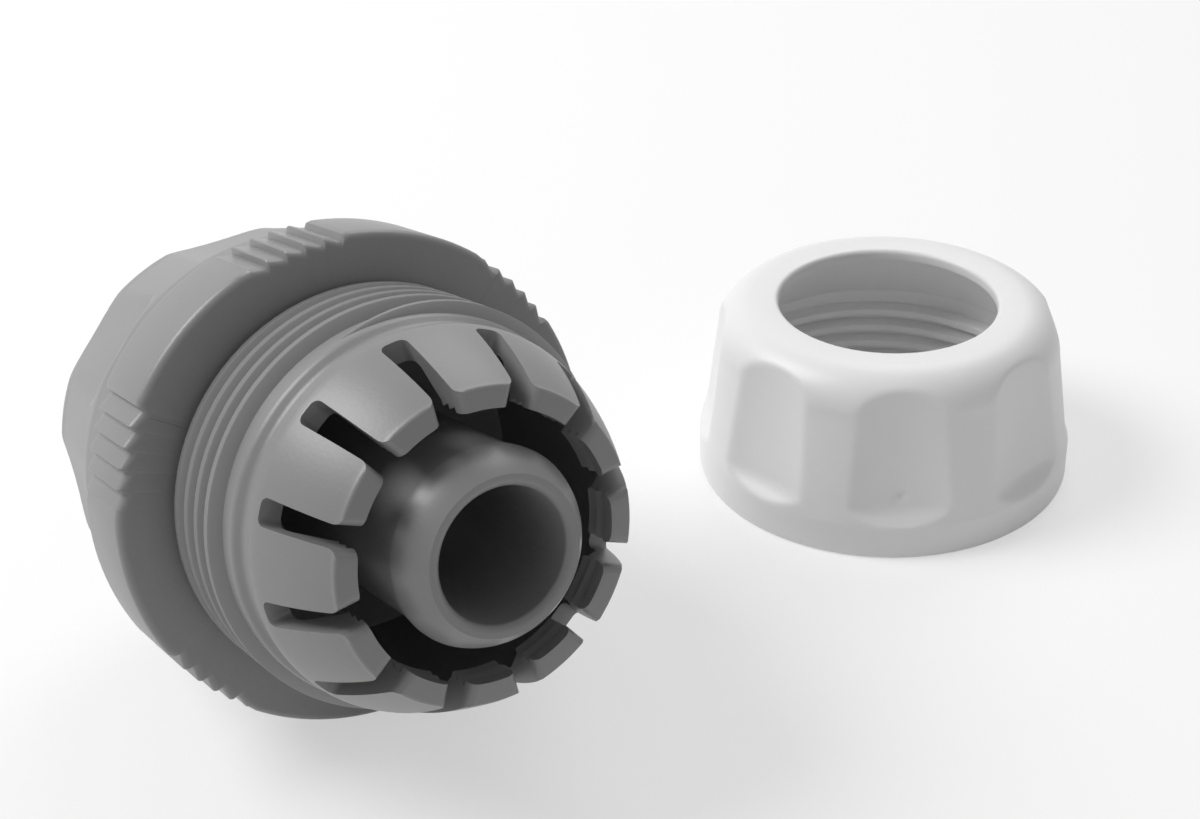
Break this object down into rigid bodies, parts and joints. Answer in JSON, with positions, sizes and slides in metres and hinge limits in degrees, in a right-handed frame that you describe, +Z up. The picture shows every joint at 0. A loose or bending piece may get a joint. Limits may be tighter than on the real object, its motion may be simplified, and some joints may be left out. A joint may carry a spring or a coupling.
{
  "type": "hose mender",
  "caption": "Screw-together coupler that joins two cut ends of a garden hose, with slotted clamping collets round hollow spigots and a ribbed grip flange.",
  "frame": {"origin": "on the floor, in the middle of the room that the mender and the nut taken off it take together", "axes": "+Z up. The mender lies along X and its open end, raised by 11.9 degrees, looks to +X. The nut taken off stands on its open rim on the +Y side of it."},
  "size_m": [0.0652, 0.1207, 0.0508],
  "materials": {
    "grey_plastic": "satin moulded",
    "white_plastic": "satin moulded"
  },
  "bodies": {
    "mender": {"mender_body": "grey_plastic", "front_nut": "white_plastic"},
    "rear_nut_body": {"rear_nut": "grey_plastic"}
  },
  "joints": [
    {"name": "rear_nut_turn", "type": "hinge", "parent": "mender", "child": "rear_nut_body", "pos_m": [0, -0.03516, 0.02541], "axis": [-0.9787, 0, -0.2055], "range_deg": [0, 1440]}
  ]
}
